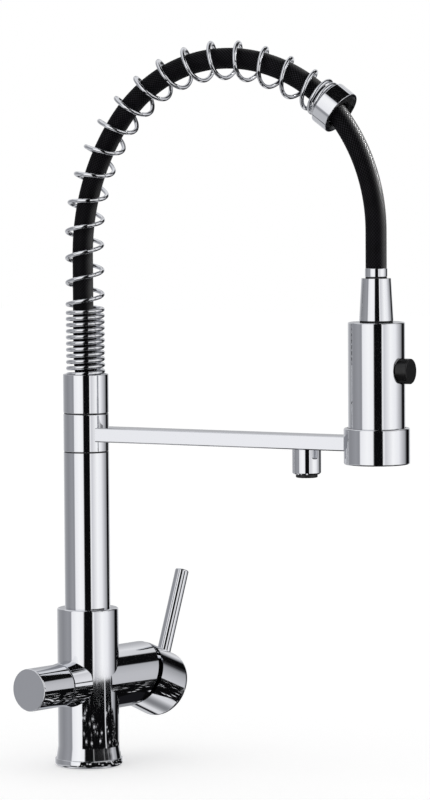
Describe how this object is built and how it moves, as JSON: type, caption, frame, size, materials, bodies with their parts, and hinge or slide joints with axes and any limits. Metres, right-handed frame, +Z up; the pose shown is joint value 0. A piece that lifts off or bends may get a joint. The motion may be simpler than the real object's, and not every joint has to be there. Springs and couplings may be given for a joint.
{
  "type": "kitchen mixer tap",
  "caption": "Chrome kitchen mixer tap with side lever, filtered-water knob, swivel arm that docks a spray head, and a sprung black hose arch.",
  "frame": {"origin": "on the worktop, on the axis of the column", "axes": "+Z up, +X along the arm towards the spray head at rest, +Y towards the lever's side"},
  "size_m": [0.2983, 0.1826, 0.5414],
  "materials": {
    "chrome": "polished chrome plate on brass",
    "black_braid": "black nylon braid over a rubber hose",
    "black_rubber": "matte black rubber",
    "black_plastic": "black moulded plastic",
    "brass": "turned brass",
    "steel": "stainless steel",
    "ceramic": "polished alumina, ceramic"
  },
  "bodies": {
    "tap_body": {"base_ring": "chrome", "base_gasket": "black_rubber", "valve_body": "chrome", "column_tube": "chrome", "mixed_riser": "brass", "filter_riser": "black_plastic", "swivel_spindle": "brass", "swivel_seals": "black_rubber", "ferrule_clip": "steel", "lower_slide_ring": "black_plastic", "cartridge_body": "black_plastic", "fixed_disc": "ceramic", "cartridge_nut": "black_plastic", "filter_headwork": "brass"},
    "arm": {"upper_slide_ring": "black_plastic", "swivel_collar": "chrome", "arm_bar": "chrome", "docking_ring": "chrome", "dock_liner": "black_plastic", "filter_spout": "chrome", "filter_aerator": "black_plastic", "filter_tube": "black_plastic", "spring_ferrule": "chrome", "arch_spring": "chrome", "spring_end_cap": "chrome", "end_cap_screw": "steel", "end_cap_bush": "black_plastic", "hose_nut": "brass", "arch_hose": "black_braid"},
    "hose_end": {"free_hose": "black_braid", "hose_crimp": "chrome"},
    "spray_head": {"head_cone": "chrome", "check_valve": "black_plastic", "head_shell": "chrome", "head_core": "black_plastic", "head_seals": "black_rubber", "spray_face": "black_plastic", "head_aerator": "black_plastic", "button_spring": "steel"},
    "button": {"spray_button": "black_rubber"},
    "lever_turn": {"moving_disc": "ceramic", "cartridge_rotor": "black_plastic", "rotor_pin": "steel"},
    "lever": {"cartridge_stem": "brass", "lever_cap": "chrome", "lever_stick": "chrome", "lever_screw": "steel"},
    "knob": {"filter_knob": "chrome", "filter_spindle": "brass", "knob_screw": "steel"}
  },
  "joints": [
    {"name": "arm_swivel", "type": "hinge", "parent": "tap_body", "child": "arm", "pos_m": [0, 0, 0.2507], "axis": [0, 0, 1], "continuous": true},
    {"name": "head_lift", "type": "slide", "parent": "arm", "child": "hose_end", "axis": [0, 0, 1], "range_m": [0, 0.045], "deforming": ["free_hose"]},
    {"name": "head_turn", "type": "hinge", "parent": "hose_end", "child": "spray_head", "pos_m": [0.2425, 0, 0.3624], "axis": [0, 0, 1], "continuous": true},
    {"name": "button_press", "type": "slide", "parent": "spray_head", "child": "button", "axis": [-1, 0, 0], "range_m": [0, 0.003], "stiffness_N_per_m": 600, "springref_m": -0.001, "deforming": ["button_spring"]},
    {"name": "lever_turn", "type": "hinge", "parent": "tap_body", "child": "lever_turn", "pos_m": [0.00912, 0.04782, 0.06694], "axis": [0.1731, 0.9075, -0.3827], "range_deg": [-35, 35]},
    {"name": "lever_lift", "type": "hinge", "parent": "lever_turn", "child": "lever", "pos_m": [0.00912, 0.04782, 0.06694], "axis": [-0.9823, 0.1874, 0], "range_deg": [-9, 9]},
    {"name": "filter_knob_turn", "type": "hinge", "parent": "tap_body", "child": "knob", "pos_m": [0, 0, 0.0635], "axis": [-0.1874, -0.9823, 0], "range_deg": [0, 90]}
  ]
}
